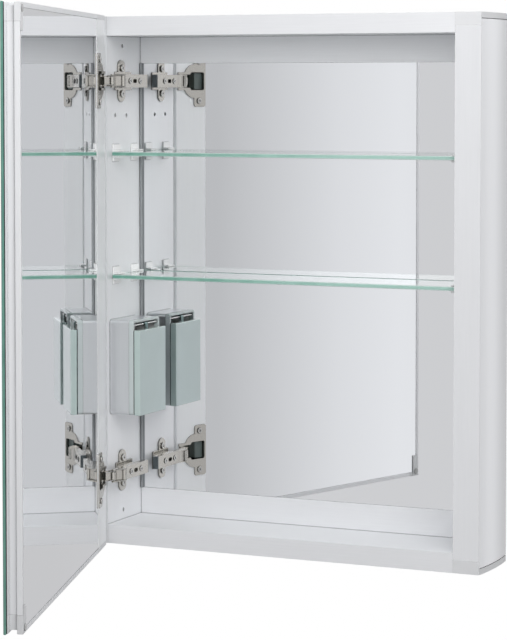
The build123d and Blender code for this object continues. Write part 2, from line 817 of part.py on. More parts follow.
with BuildPart() as cup_screws:
    screw_places = [(cup_screw_setback, z + dz) for z in hinge_levels
                    for dz in (-cup_screw_half, cup_screw_half)]
    with BuildSketch(door_face(cup_flange + cup_screw_head)):
        with Locations(*screw_places):
            Circle(cup_screw_head_radius)
    extrude(amount=cup_screw_head)
    with BuildSketch(door_face(cup_flange)):
        with Locations(*screw_places):
            Circle(cup_screw_radius)
    extrude(amount=cup_screw_length)
save(cup_screws, "cup_screws")

# Door frame: a wide stile on the hinge side, narrow grooved profiles on the other three

stile_half = frame_half - stile_cap
ledge_half = frame_half - door_rail_width
mirror_start = hinge_stile_width + fit_gap
mirror_end = door_width - door_lip - fit_gap
mirror_half = frame_half - door_lip - fit_gap


def groove(edge, toward):
    """Corner points of the edge groove, from an edge and the way into the frame."""
    deep = edge + toward * groove_depth
    lip = -groove_near - groove_slope
    return ((edge, -groove_near), (deep, lip), (deep, -groove_far + groove_slope), (edge, -groove_far))


def edge_section(edge, toward, across_is_x):
    """Draw a narrow profile's section: a lip, an edge groove and a ledge for the mirror."""
    lip = edge + toward * door_lip
    deep = edge + toward * door_rail_width
    outline = [(edge, 0), *groove(edge, toward), (edge, -frame_thickness), (deep, -frame_thickness),
               (deep, mirror_back), (lip, mirror_back), (lip, 0), (edge, 0)]
    cavity = sorted((edge + toward * (groove_depth + door_wall), deep - toward * door_wall))
    walls = (-frame_thickness + door_wall, mirror_back - door_wall)
    with BuildLine(mode=Mode.PRIVATE) as drawn:
        Polyline(*[point if across_is_x else (point[1], point[0]) for point in outline])
    make_face(drawn.edges())
    if across_is_x:
        cut_block(cavity, walls)
    else:
        cut_block(walls, cavity)


with BuildPart() as hinge_stile:
    with BuildSketch(door_plan(-stile_half)) as stile_section:
        block((0, hinge_stile_width), (-frame_thickness, 0))
        fillet(stile_section.vertices().sort_by(Axis.Y)[-2:].sort_by(Axis.X)[0], stile_edge_radius)
        cut_block((door_wall, hinge_stile_width - door_wall), (-frame_thickness + door_wall, -door_wall))
    extrude(amount=2 * stile_half)
    # The ledge behind the mirror's edge stops short of the top and bottom profiles
    with BuildSketch(door_plan(-ledge_half)):
        block((hinge_stile_width, hinge_stile_width + hinge_stile_ledge),
              (-frame_thickness, mirror_back))
        cut_block((hinge_stile_width, hinge_stile_width + hinge_stile_ledge - door_wall),
                  (-frame_thickness + door_wall, mirror_back - door_wall))
    extrude(amount=2 * ledge_half)
    # Openings for the hinge cups and their screws
    for level in hinge_levels:
        with BuildSketch(door_face(0)):
            cup_outline(level, fit_gap)
            with Locations((cup_screw_setback, level - cup_screw_half),
                           (cup_screw_setback, level + cup_screw_half)):
                Circle(cup_screw_radius + pin_play)
        extrude(amount=door_wall, mode=Mode.SUBTRACT)
save(hinge_stile, "hinge_stile")

with BuildPart() as free_stile:
    with BuildSketch(door_plan(-ledge_half)):
        edge_section(door_width, -1, True)
    extrude(amount=2 * ledge_half)
save(free_stile, "free_stile")

for end, name in ((1, "top"), (-1, "bottom")):
    with BuildPart() as door_rail:
        with BuildSketch(door_section(hinge_stile_width)):
            edge_section(end * frame_half, -end, False)
        extrude(amount=door_width - door_rail_width - hinge_stile_width)
    save(door_rail, f"door_rail_{name}")

# Corner pieces where the free stile meets the top and bottom, with a bumper tab on each
for end, name in ((1, "top"), (-1, "bottom")):
    edge = end * frame_half
    with BuildPart() as door_corner_piece:
        with BuildSketch(door_face(0)):
            block((door_width - door_rail_width, door_width), sorted((edge, end * ledge_half)))
        extrude(amount=frame_thickness)
        with BuildSketch(door_face(0)):
            block((door_width - door_rail_width, door_width - door_lip),
                  sorted((end * ledge_half, edge - end * door_lip)))
        extrude(amount=-mirror_back, mode=Mode.SUBTRACT)
        with BuildSketch(door_plan(end * ledge_half)):
            with BuildLine():
                Polyline(*groove(door_width, -1), (door_width, -groove_near))
            make_face()
        extrude(amount=end * door_rail_width, mode=Mode.SUBTRACT)
        with BuildSketch(door_section(door_width - door_rail_width)):
            with BuildLine():
                Polyline(*[(inward, up) for up, inward in groove(edge, -end)],
                         (-groove_near, edge))
            make_face()
        extrude(amount=door_rail_width, mode=Mode.SUBTRACT)
        with BuildSketch(door_face(0)):
            block((door_width - tab_width, door_width - 1), sorted((edge - end, edge - end * tab_length)))
        extrude(amount=-tab_thickness)
    save(door_corner_piece, f"door_corner_{name}")

# End caps of the hinge stile, grooved along their outer edge like the profiles beside them
for end, name in ((1, "top"), (-1, "bottom")):
    with BuildPart() as stile_cap_piece:
        with BuildSketch(door_plan(end * stile_half)) as cap_section:
            block((0, hinge_stile_width), (-frame_thickness, 0))
            fillet(cap_section.vertices().sort_by(Axis.Y)[-2:].sort_by(Axis.X)[0], stile_edge_radius)
        extrude(amount=end * stile_cap)
        with BuildSketch(door_plan(end * stile_half)):
            block((door_wall + fit_gap, hinge_stile_width - door_wall - fit_gap),
                  (-frame_thickness + door_wall + fit_gap, -door_wall - fit_gap))
        extrude(amount=-end * stile_cap_plug)
        with BuildSketch(door_section(0)):
            with BuildLine():
                Polyline(*[(inward, up) for up, inward in groove(end * frame_half, -end)],
                         (-groove_near, end * frame_half))
            make_face()
        extrude(amount=hinge_stile_width, mode=Mode.SUBTRACT)
    save(stile_cap_piece, f"stile_cap_{name}")

with BuildPart() as door_bumpers:
    with BuildSketch(door_face(tab_thickness)):
        with Locations(*[(door_width - tab_width / 2, end * (frame_half - tab_width / 2))
                         for end in (-1, 1)]):
            Circle(bumper_radius)
    extrude(amount=-bumper_height)
save(door_bumpers, "door_bumpers")

# Door glass: a mirror on the inside, and a larger one over a black backing on the outside
with BuildPart() as door_mirror_inner:
    with BuildSketch(door_face(-inner_mirror_recess)):
        block((mirror_start, mirror_end), (-mirror_half, mirror_half))
    extrude(amount=inner_mirror_thickness)
save(door_mirror_inner, "door_mirror_inner")

with BuildPart() as door_backing:
    with BuildSketch(door_face(-frame_thickness)):
        block((0, door_width), (-frame_half, frame_half))
    extrude(amount=backing_thickness)
save(door_backing, "door_backing")

with BuildPart() as door_mirror_outer:
    with BuildSketch(door_face(-frame_thickness - backing_thickness)):
        block((-outer_mirror_overhang, door_width + outer_mirror_overhang),
              (-frame_half - outer_mirror_overhang, frame_half + outer_mirror_overhang))
    extrude(amount=outer_mirror_thickness)
    chamfer(door_mirror_outer.edges(), glass_chamfer)
save(door_mirror_outer, "door_mirror_outer")

# Box on the hinge-side wall: a metal shell, a clear rim and a glass cover that flips up

with BuildPart() as box_shell:
    with BuildSketch(Plane.YZ.offset(inner_left)):
        with Locations((box_y, box_z)):
            RectangleRounded(box_depth, box_height, box_corner_radius)
    extrude(amount=box_shell_width)
    with BuildSketch(Plane.YZ.offset(inner_left + box_wall)):
        with Locations((box_y, box_z)):
            RectangleRounded(box_depth - 2 * box_wall, box_height - 2 * box_wall,
                             box_corner_radius - box_wall)
    extrude(amount=box_shell_width, mode=Mode.SUBTRACT)
    with BuildSketch(Plane.YZ.offset(inner_left)):
        with Locations((box_y, box_z - box_screw_half), (box_y, box_z + box_screw_half)):
            Circle(box_screw_radius + pin_play)
    extrude(amount=box_wall, mode=Mode.SUBTRACT)
save(box_shell, "box_shell")

with BuildPart() as box_rim:
    with BuildSketch(Plane.YZ.offset(box_rim_x)):
        with Locations((box_y, box_z)):
            RectangleRounded(box_depth, box_height, box_corner_radius)
            Rectangle(box_depth - 2 * box_rim_wall, box_height - 2 * box_rim_wall, mode=Mode.SUBTRACT)
    extrude(amount=box_rim_width)
    with BuildSketch(Plane.XZ.offset(-box_y)):
        with Locations((box_pin_x, box_pin_z)):
            Circle(box_pin_radius + pin_play)
    extrude(amount=box_depth / 2 - box_rim_wall + box_pin_hold, both=True, mode=Mode.SUBTRACT)
save(box_rim, "box_rim")

with BuildPart() as box_pin:
    with BuildSketch(Plane.XZ.offset(-box_y)):
        with Locations((box_pin_x, box_pin_z)):
            Circle(box_pin_radius)
    extrude(amount=box_depth / 2 - box_rim_wall + box_pin_hold, both=True)
save(box_pin, "box_pin")

with BuildPart() as box_cover:
    with BuildSketch(Plane.YZ.offset(box_glass_x)):
        block((box_y - box_depth / 2, box_y + box_depth / 2), (box_low, box_glass_top))
    extrude(amount=box_glass_thickness)
    chamfer(box_cover.edges(), glass_chamfer)
save(box_cover, "box_cover")

with BuildPart() as box_strap_piece:
    with BuildSketch(Plane.XZ.offset(-box_y)):
        with Locations((box_pin_x, box_pin_z)):
            Circle(box_eye_radius)
        block((box_glass_x - box_strap, box_glass_x), (box_glass_top - box_strap_lap, box_pin_z))
        with Locations((box_pin_x, box_pin_z)):
            Circle(box_pin_radius + pin_play, mode=Mode.SUBTRACT)
    extrude(amount=box_strap_width / 2, both=True)
save(box_strap_piece, "box_strap")

with BuildPart() as box_screws:
    screw_places = [(box_y, box_z - box_screw_half), (box_y, box_z + box_screw_half)]
    with BuildSketch(Plane.YZ.offset(inner_left + box_wall)):
        with Locations(*screw_places):
            Circle(box_screw_head_radius)
    extrude(amount=box_screw_head)
    with BuildSketch(Plane.YZ.offset(inner_left + box_wall)):
        with Locations(*screw_places):
            Circle(box_screw_radius)
    extrude(amount=-box_screw_length)
save(box_screws, "box_screws")
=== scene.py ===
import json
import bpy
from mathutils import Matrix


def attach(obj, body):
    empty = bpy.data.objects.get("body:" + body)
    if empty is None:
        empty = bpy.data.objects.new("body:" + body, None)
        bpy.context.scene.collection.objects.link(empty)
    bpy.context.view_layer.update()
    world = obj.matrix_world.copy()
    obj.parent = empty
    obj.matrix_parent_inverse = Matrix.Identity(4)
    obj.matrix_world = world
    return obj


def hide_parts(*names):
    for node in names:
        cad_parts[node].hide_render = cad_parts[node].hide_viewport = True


bl_info = {
    "name": "Mirrored medicine cabinet",
    "version": (1, 0, 0),
    "blender": (4, 5, 0),
    "location": "View3D > Sidebar > Cabinet",
    "description": "Dresses the CAD frame of a wall-hung medicine cabinet with a mirror door",
    "category": "Object",
}

from math import cos, pi, radians, sin

import bpy
from mathutils import Quaternion, Vector

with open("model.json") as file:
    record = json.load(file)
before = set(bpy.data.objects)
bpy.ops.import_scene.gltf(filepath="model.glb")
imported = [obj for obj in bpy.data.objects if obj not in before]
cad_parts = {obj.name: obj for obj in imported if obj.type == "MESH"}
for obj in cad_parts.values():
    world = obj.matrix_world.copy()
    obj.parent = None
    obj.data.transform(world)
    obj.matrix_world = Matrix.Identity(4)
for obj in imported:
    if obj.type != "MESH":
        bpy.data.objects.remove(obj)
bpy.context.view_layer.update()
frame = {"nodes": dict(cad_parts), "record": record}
NODES = frame["nodes"]
BODY_OF = {node: body for body, nodes in frame["record"]["behaviour"]["bodies"].items() for node in nodes}
MM = 0.001

# Directions in the frame: from the left side into the cabinet, from the front to the wall behind,
# and out of the door's inner face, as the door stands in the frame
INTO_CABINET = Vector((1.0, 0.0, 0.0))
TO_THE_WALL = Vector((0.0, 1.0, 0.0))
DOOR_OPEN = radians(71.8)
DOOR_INWARD = Vector((sin(DOOR_OPEN), cos(DOOR_OPEN), 0.0))

# How the lines of a drawn profile are stretched: along its length they hardly change
LINES_UPRIGHT = (1.0, 1.0, 0.02)
LINES_ACROSS = (0.02, 1.0, 1.0)
LINES_ALONG_DOOR = (1.0, 0.05, 1.0)

# The rounded corner of the broad side faces right and forwards by more than this part of its normal
CORNER_LEAN = 0.25
# Height of the step under the caps, above and below the middle, in metres
CAP_STEP = 0.3222
# A face whose normal has more than the first of these along an axis lies across it, and one with
# less than the second runs along it. Between the two it is a bevel
ACROSS_AXIS = 0.95
ALONG_AXIS = 0.2
# The same for the thin mirrors, whose bevels count with their faces sooner
MIRROR_ACROSS = 0.9
# The beads' lips are the faces that look towards the sides by more than this
LIP_LEAN = 0.3

# The CAD's triangles are joined again where they meet this closely and lie this nearly in one plane
MERGE_WITHIN = 0.002 * MM
FLAT_WITHIN = radians(0.4)
# Edges sharper than this are rounded, and what then turns by less than the second is shaded smooth
SHARP_FROM = radians(30.0)
SMOOTH_TO = radians(35.0)

# Refractive indices
GLASS_IOR = 1.52
PLASTIC_IOR = 1.49

# The driver crosses in the screw heads, and in degrees how the first is turned and each next one more
CROSS_LENGTH = 4.6 * MM
CROSS_WIDTH = 0.85 * MM
CROSS_DEPTH = 0.9 * MM
CROSS_TURN = 40.0
CROSS_TURN_STEP = 27.0

WHITE = (1.0, 1.0, 1.0, 1.0)

# How light the room is in each direction on plan, in degrees from +X: what the mirrors show
ROOM_TONES = ((-150, 0.8), (-120, 0.73), (-117.6, 1.1), (-115.5, 1.1), (-114.5, 0.72), (-110, 0.71),
              (-100, 0.76), (-88, 0.96), (-62, 0.98), (-54, 0.84), (-46, 0.82), (-36, 1.0),
              (-32.4, 1.04), (-30.4, 0.92), (-28.4, 0.67), (-22, 0.64), (0, 0.8), (36, 0.74), (49, 0.62),
              (57, 0.72), (63.5, 1.12), (68, 1.12), (78, 0.64), (97, 0.62), (106, 0.66), (116, 1.2),
              (121, 0.86), (140, 0.86))
# Its colour straight to the left, where the bearings meet, and how much bluer than grey the rest is
ROOM_LEFT = (0.85, 0.85, 0.87, 1.0)
ROOM_BLUE = 1.02
# How much brighter than the walls the ceiling is in the mirrors
CEILING = 1.9

FLOOR_SIZE = 30.0
FLOOR_LEVEL = -1.0

# Each lamp's name, place in metres, share of the lamp setting and width in metres; both face LAMP_AIM
LAMPS = (("key", (0.75, -1.15, 0.85), 1.0, 1.3), ("fill", (2.6, -1.8, -0.7), 0.33, 2.0))
LAMP_AIM = Vector((0.0, 0.0, 0.1))

# The camera is shifted down as a view camera is, so that uprights stay nearly upright. It is tilted
# down by 3 degrees as well, because other views keep the shift, and a larger one cuts them off
CAMERA_PLACE = (1.2039, -2.8014, 0.2438)
CAMERA_ANGLES = (radians(87.0), 0.0, radians(24.635))
CAMERA_SHIFT = (-0.0012, -0.1649)
SENSOR_HEIGHT = 36.0


# Colours and nodes

def linear(colour):
    """An sRGB hex colour, or a colour setting, as linear red, green, blue and alpha."""
    if not isinstance(colour, str):
        return (*colour, 1.0)
    parts = [int(colour[i:i + 2], 16) / 255 for i in (1, 3, 5)]
    return (*(c / 12.92 if c <= 0.04045 else ((c + 0.055) / 1.055) ** 2.4 for c in parts), 1.0)


def add_node(tree, kind, settings=(), inputs=(), links=()):
    """Add a node, set its properties and sockets, and link its inputs."""
    node = tree.nodes.new(kind)
    for name, value in dict(settings).items():
        setattr(node, name, value)
    for name, value in dict(inputs).items():
        node.inputs[name].default_value = value
    for name, socket in dict(links).items():
        tree.links.new(socket, node.inputs[name])
    return node


def new_material(name):
    """An empty node material with its output."""
    material = bpy.data.materials.new(name)
    material.use_nodes = True
    material.node_tree.nodes.clear()
    output = add_node(material.node_tree, "ShaderNodeOutputMaterial")
    return material, material.node_tree, output


def toned(tree, colour, pattern, low, high):
    """Multiply a colour by a pattern that is put between two values, and return the result."""
    tone = add_node(tree, "ShaderNodeMapRange", inputs={"To Min": low, "To Max": high},
                    links={"Value": pattern})
    mix = add_node(tree, "ShaderNodeMix", {"data_type": "RGBA", "blend_type": "MULTIPLY"},
                   {"Factor": 1.0, "A": linear(colour)}, {"B": tone.outputs["Result"]})
    return mix.outputs["Result"]


def seam_shade(tree, colour, reach_mm=1.6, least=0.15):
    """Darken a colour in seams and corners, where pieces meet: painted shade, by how closed in each place
    is.
    """
    near = add_node(tree, "ShaderNodeAmbientOcclusion", {"samples": 6}, {"Distance": reach_mm * MM})
    # A place is at its darkest with under 0.3 of its surroundings open, and clear with over 0.9
    shade = add_node(tree, "ShaderNodeMapRange", inputs={"From Min": 0.3, "From Max": 0.9, "To Min": least},
                     links={"Value": near.outputs["AO"]})
    mix = add_node(tree, "ShaderNodeMix", {"data_type": "RGBA", "blend_type": "MULTIPLY"}, {"Factor": 1.0},
                   {"A": colour, "B": shade.outputs["Result"]})
    return mix.outputs["Result"]


def seen_directly(tree):
    """Add the nodes that are 1 on a ray from the camera, also behind glass, and return their value."""
    ray = add_node(tree, "ShaderNodeLightPath")
    either = add_node(tree, "ShaderNodeMath", {"operation": "ADD", "use_clamp": True})
    tree.links.new(ray.outputs["Is Camera Ray"], either.inputs[0])
    tree.links.new(ray.outputs["Is Transmission Ray"], either.inputs[1])
    return either.outputs["Value"]


def room_tone(tree, direction):
    """Add the nodes that give the room's grey in a direction on plan, and return their colour."""
    part = add_node(tree, "ShaderNodeSeparateXYZ", links={"Vector": direction})
    bearing = add_node(tree, "ShaderNodeMath", {"operation": "ARCTAN2"})
    tree.links.new(part.outputs["Y"], bearing.inputs[0])
    tree.links.new(part.outputs["X"], bearing.inputs[1])
    share = add_node(tree, "ShaderNodeMapRange", inputs={"From Min": -pi, "From Max": pi},
                     links={"Value": bearing.outputs["Value"]})
    tones = add_node(tree, "ShaderNodeValToRGB", links={"Fac": share.outputs["Result"]})
    ramp = tones.color_ramp
    for stop in (ramp.elements[0], ramp.elements[-1]):
        stop.color = ROOM_LEFT
    for degrees, tone in ROOM_TONES:
        stop = ramp.elements.new((degrees + 180) / 360)
        stop.color = (tone, tone, tone * ROOM_BLUE, 1.0)
    return tones.outputs["Color"]


# Materials

def drawn_aluminium(name, colour, roughness, lines_along=LINES_UPRIGHT, depth=0.04, metallic=0.25,
                    reach_mm=1.6):
    """Anodised aluminium profile: drawn through a die, so fine lines run along its length.

    The etched and anodised skin scatters part of the light, so it isn't a full metal to the eye.
    """
    material, tree, output = new_material(name)
    place = add_node(tree, "ShaderNodeTexCoord")
    # Die lines stand about 0.4 mm apart; drawn at 1.2 mm, so that they show at all
    line_pitch = 1.2 * MM
    stretch = add_node(tree, "ShaderNodeMapping",
                       inputs={"Scale": tuple(part / line_pitch for part in lines_along)},
                       links={"Vector": place.outputs["Object"]})
    lines = add_node(tree, "ShaderNodeTexNoise", inputs={"Scale": 1.0, "Detail": 3.0, "Roughness": 0.6},
                     links={"Vector": stretch.outputs["Vector"]})
    lined = toned(tree, colour, lines.outputs["Fac"], 0.96, 1.03)
    # The lines' edges break up the gloss a little
    rough = add_node(tree, "ShaderNodeMapRange",
                     inputs={"To Min": roughness - 0.03, "To Max": roughness + 0.04},
                     links={"Value": lines.outputs["Fac"]})
    bump = add_node(tree, "ShaderNodeBump", inputs={"Strength": depth, "Distance": 0.1 * MM},
                    links={"Height": lines.outputs["Fac"]})
    shader = add_node(tree, "ShaderNodeBsdfPrincipled", inputs={"Metallic": metallic},
                      links={"Base Color": seam_shade(tree, lined, reach_mm),
                             "Roughness": rough.outputs["Result"], "Normal": bump.outputs["Normal"]})
    tree.links.new(shader.outputs["BSDF"], output.inputs["Surface"])
    return material


def silvered_mirror(name, colour):
    """Silvered float glass: polished, over a silver layer that throws back nearly all of the light."""
    material, tree, output = new_material(name)
    place = add_node(tree, "ShaderNodeTexCoord")
    # Drawing the glass off its bath leaves faint waves, here 18 to a metre, that stir a reflection
    wave = add_node(tree, "ShaderNodeTexNoise", inputs={"Scale": 18.0, "Detail": 1.0},
                    links={"Vector": place.outputs["Object"]})
    bump = add_node(tree, "ShaderNodeBump", inputs={"Strength": 0.02, "Distance": 0.2 * MM},
                    links={"Height": wave.outputs["Fac"]})
    shader = add_node(tree, "ShaderNodeBsdfPrincipled",
                      inputs={"Base Color": linear(colour), "Metallic": 1.0, "Roughness": 0.015},
                      links={"Normal": bump.outputs["Normal"]})
    tree.links.new(shader.outputs["BSDF"], output.inputs["Surface"])
    return material


def clear_glass(name, colour):
    """Float glass seen through its face: nearly clear, with a faint green cast."""
    material, tree, output = new_material(name)
    shader = add_node(tree, "ShaderNodeBsdfPrincipled",
                      inputs={"Base Color": linear(colour), "Roughness": 0.0, "IOR": GLASS_IOR,
                              "Transmission Weight": 1.0})
    # Glass lets light through, so its shadow is a light one
    passed = 0.85
    clear = add_node(tree, "ShaderNodeBsdfTransparent", inputs={"Color": (passed, passed, passed, 1.0)})
    ray = add_node(tree, "ShaderNodeLightPath")
    mix = add_node(tree, "ShaderNodeMixShader", links={"Fac": ray.outputs["Is Shadow Ray"]})
    tree.links.new(shader.outputs["BSDF"], mix.inputs[1])
    tree.links.new(clear.outputs["BSDF"], mix.inputs[2])
    tree.links.new(mix.outputs["Shader"], output.inputs["Surface"])
    return material


def glass_edge(name, dark, pale, least_seam_shade=0.7):
    """The polished edge of float glass: iron in it makes the long way through green."""
    material, tree, output = new_material(name)
    place = add_node(tree, "ShaderNodeTexCoord")
    # The tone drifts every 25 mm or so along the edge: painted reflection of what stands behind it
    drift = add_node(tree, "ShaderNodeTexNoise", inputs={"Scale": 1 / (25 * MM), "Detail": 2.0},
                     links={"Vector": place.outputs["Object"]})
    # It pales from the hinge side to the other, where the open front lets more light into the glass
    part = add_node(tree, "ShaderNodeSeparateXYZ", links={"Vector": place.outputs["Object"]})
    half_width = 250 * MM
    paler = add_node(tree, "ShaderNodeMapRange",
                     inputs={"From Min": -half_width, "From Max": half_width, "To Min": -0.5},
                     links={"Value": part.outputs["X"]})
    share = add_node(tree, "ShaderNodeMath", {"operation": "ADD", "use_clamp": True})
    tree.links.new(drift.outputs["Fac"], share.inputs[0])
    tree.links.new(paler.outputs["Result"], share.inputs[1])
    colour = add_node(tree, "ShaderNodeMix", {"data_type": "RGBA"}, {"A": linear(dark), "B": linear(pale)},
                      {"Factor": share.outputs["Value"]})
    # The edge's seams get painted shade, no darker than the given share
    shaded = seam_shade(tree, colour.outputs["Result"], reach_mm=1.2, least=least_seam_shade)
    shader = add_node(tree, "ShaderNodeBsdfPrincipled",
                      inputs={"Roughness": 0.08, "IOR": GLASS_IOR, "Transmission Weight": 0.25,
                              "Coat Weight": 0.6, "Coat Roughness": 0.04},
                      links={"Base Color": shaded})
    tree.links.new(shader.outputs["BSDF"], output.inputs["Surface"])
    return material


def backed_glass(name, colour):
    """Clear glass over a pale satin backing: a soft colour under a sharp gloss."""
    material, tree, output = new_material(name)
    place = add_node(tree, "ShaderNodeTexCoord")
    # The backing's tone drifts a little, some 33 times a metre
    drift = add_node(tree, "ShaderNodeTexNoise", inputs={"Scale": 33.0, "Detail": 1.0},
                     links={"Vector": place.outputs["Object"]})
    shader = add_node(tree, "ShaderNodeBsdfPrincipled",
                      inputs={"Roughness": 0.3, "Metallic": 0.35, "Coat Weight": 1.0,
                              "Coat Roughness": 0.02, "Coat IOR": GLASS_IOR},
                      links={"Base Color": toned(tree, colour, drift.outputs["Fac"], 0.95, 1.04)})
    tree.links.new(shader.outputs["BSDF"], output.inputs["Surface"])
    return material


def plated_steel(name, colour, roughness):
    """Nickel or zinc plated pressed steel: bright, with the soft unevenness of a barrel plated part."""
    material, tree, output = new_material(name)
    place = add_node(tree, "ShaderNodeTexCoord")
    # Parts that tumble against each other in the plating barrel get marks of just under a millimetre
    grain = add_node(tree, "ShaderNodeTexNoise", inputs={"Scale": 1 / (0.8 * MM), "Detail": 2.0},
                     links={"Vector": place.outputs["Object"]})
    grained = toned(tree, colour, grain.outputs["Fac"], 0.9, 1.05)
    rough = add_node(tree, "ShaderNodeMapRange",
                     inputs={"To Min": roughness - 0.05, "To Max": roughness + 0.08},
                     links={"Value": grain.outputs["Fac"]})
    bump = add_node(tree, "ShaderNodeBump", inputs={"Strength": 0.05, "Distance": 0.1 * MM},
                    links={"Height": grain.outputs["Fac"]})
    shader = add_node(tree, "ShaderNodeBsdfPrincipled", inputs={"Metallic": 1.0},
                      links={"Base Color": seam_shade(tree, grained, reach_mm=2.2, least=0.1),
                             "Roughness": rough.outputs["Result"], "Normal": bump.outputs["Normal"]})
    tree.links.new(shader.outputs["BSDF"], output.inputs["Surface"])
    return material


def moulded_plastic(name, colour, roughness, grain_mm=0.5, transmission=0.0, least_seam_shade=0.15):
    """Injection moulded plastic: its mould was spark-eroded, and that grain leaves it satin.

    Painted board, and the painted shadows put into seams, are as satin, so they are made here too.
    """
    material, tree, output = new_material(name)
    place = add_node(tree, "ShaderNodeTexCoord")
    grain = add_node(tree, "ShaderNodeTexNoise", inputs={"Scale": 1 / (grain_mm * MM), "Detail": 2.0},
                     links={"Vector": place.outputs["Object"]})
    grained = toned(tree, colour, grain.outputs["Fac"], 0.95, 1.04)
    bump = add_node(tree, "ShaderNodeBump", inputs={"Strength": 0.08, "Distance": 0.1 * MM},
                    links={"Height": grain.outputs["Fac"]})
    # Seams and corners get painted shade, no darker than the given share
    shader = add_node(tree, "ShaderNodeBsdfPrincipled",
                      inputs={"Roughness": roughness, "IOR": PLASTIC_IOR,
                              "Transmission Weight": transmission},
                      links={"Base Color": seam_shade(tree, grained, least=least_seam_shade),
                             "Normal": bump.outputs["Normal"]})
    tree.links.new(shader.outputs["BSDF"], output.inputs["Surface"])
    return material


# Shaping helpers

def select_only(*objects):
    """Deselect everything, then select these and make the first active."""
    bpy.ops.object.select_all(action="DESELECT")
    for item in objects:
        item.select_set(True)
    bpy.context.view_layer.objects.active = objects[0]


def cut_crosses(piece, outward):
    """Cut a driver cross in the head of each screw of a piece, turned differently on each."""
    select_only(piece)
    bpy.ops.mesh.separate(type="LOOSE")
    screws = []
    for item in bpy.context.selected_objects:
        places = [vertex.co for vertex in item.data.vertices]
        top = max(place.dot(outward) for place in places)
        # The middle of the head is that of the corners within a tenth of a millimetre of its top
        face = [place for place in places if place.dot(outward) > top - 0.1 * MM]
        screws.append((sum(face, Vector()) / len(face), item))
    screws.sort(key=lambda screw: tuple(round(value, 4) for value in screw[0]))
    out_of_head = outward.to_track_quat("Z", "Y")
    for number, (centre, item) in enumerate(screws):
        first_turn = CROSS_TURN + CROSS_TURN_STEP * number
        for turn in (first_turn, first_turn + 90.0):
            bpy.ops.mesh.primitive_cube_add(size=1.0, location=centre)
            cutter = bpy.context.object
            cutter.scale = (CROSS_LENGTH, CROSS_WIDTH, 2.0 * CROSS_DEPTH)
            cutter.rotation_mode = "QUATERNION"
            cutter.rotation_quaternion = out_of_head @ Quaternion((0.0, 0.0, 1.0), radians(turn))
            cross = item.modifiers.new("cross", "BOOLEAN")
            cross.object = cutter
            select_only(item)
            bpy.ops.object.modifier_apply(modifier="cross")
            bpy.data.objects.remove(cutter)
    select_only(piece, *(item for centre, item in screws if item is not piece))
    bpy.ops.object.join()


def finish_piece(piece, node, material):
    """Shade a piece, paint it and put it in the place of its CAD node."""
    select_only(piece)
    bpy.ops.object.shade_smooth_by_angle(angle=SMOOTH_TO)
    # Shading follows the large faces, so that flat metal and glass stay flat up to their rounded edges
    weighted = piece.modifiers.new("flat_faces", "WEIGHTED_NORMAL")
    weighted.mode = "FACE_AREA"
    weighted.weight = 100
    weighted.keep_sharp = True
    bpy.ops.object.modifier_apply(modifier="flat_faces")
    piece.data.materials.clear()
    piece.data.materials.append(material)
    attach(piece, BODY_OF[node])
    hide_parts(node)


def softened_copy(node, material, edge_mm, segments=2, heads=None):
    """A copy of a CAD node with its sharp edges rounded, in the node's place.

    Where the node is screws, heads is the way that their heads face.
    """
    piece = bpy.data.objects.new(node + "_finished", NODES[node].data.copy())
    bpy.context.scene.collection.objects.link(piece)
    select_only(piece)
    # The CAD's triangles are joined again into the faces that they stand for
    bpy.ops.object.mode_set(mode="EDIT")
    bpy.ops.mesh.select_all(action="SELECT")
    bpy.ops.mesh.remove_doubles(threshold=MERGE_WITHIN)
    bpy.ops.mesh.customdata_custom_splitnormals_clear()
    bpy.ops.mesh.select_all(action="SELECT")
    bpy.ops.mesh.dissolve_limited(angle_limit=FLAT_WITHIN)
    bpy.ops.object.mode_set(mode="OBJECT")
    bevel = piece.modifiers.new("edges", "BEVEL")
    bevel.width = edge_mm * MM
    bevel.segments = segments
    bevel.limit_method = "ANGLE"
    bevel.angle_limit = SHARP_FROM
    bpy.ops.object.modifier_apply(modifier="edges")
    if heads is not None:
        cut_crosses(piece, heads)
    finish_piece(piece, node, material)
    return piece


def paint(node, material):
    """Give a CAD node a finished material."""
    NODES[node].data.materials.clear()
    NODES[node].data.materials.append(material)


def paint_faces(piece, material, chosen):
    """Give the faces of a piece that pass a test a material of their own."""
    piece.data.materials.append(material)
    for face in piece.data.polygons:
        if chosen(face):
            face.material_index = len(piece.data.materials) - 1


# Settings

# What all the colour settings have in common
COLOUR = {"subtype": "COLOR", "size": 3, "min": 0.0, "max": 1.0}


class CabinetSettings(bpy.types.PropertyGroup):
    """Sizes and colours of the cabinet's looks."""
    edge_softness: bpy.props.FloatProperty(
        name="Edge softness", description="Rounding on the edges of the drawn metal",
        default=0.4 * MM, min=0.05 * MM, max=1.0 * MM, precision=5, unit="LENGTH")
    aluminium: bpy.props.FloatVectorProperty(
        name="Aluminium", description="Colour of the body's metal",
        default=linear("#EFF0F2")[:3], **COLOUR)
    silver: bpy.props.FloatVectorProperty(
        name="Silver", description="Colour of the mirrors",
        default=linear("#EEEFF0")[:3], **COLOUR)
    glass_green: bpy.props.FloatVectorProperty(
        name="Shelf edge", description="Darker colour of the shelves' edges",
        default=linear("#6CA896")[:3], **COLOUR)
    nickel: bpy.props.FloatVectorProperty(
        name="Nickel", description="Colour of the hinges",
        default=linear("#C3C0B9")[:3], **COLOUR)
    box_metal: bpy.props.FloatVectorProperty(
        name="Box metal", description="Colour of the side box's shell",
        default=linear("#DADCDE")[:3], **COLOUR)
    cover_glass: bpy.props.FloatVectorProperty(
        name="Cover glass", description="Colour behind the side box's glass",
        default=linear("#ADBDBC")[:3], **COLOUR)


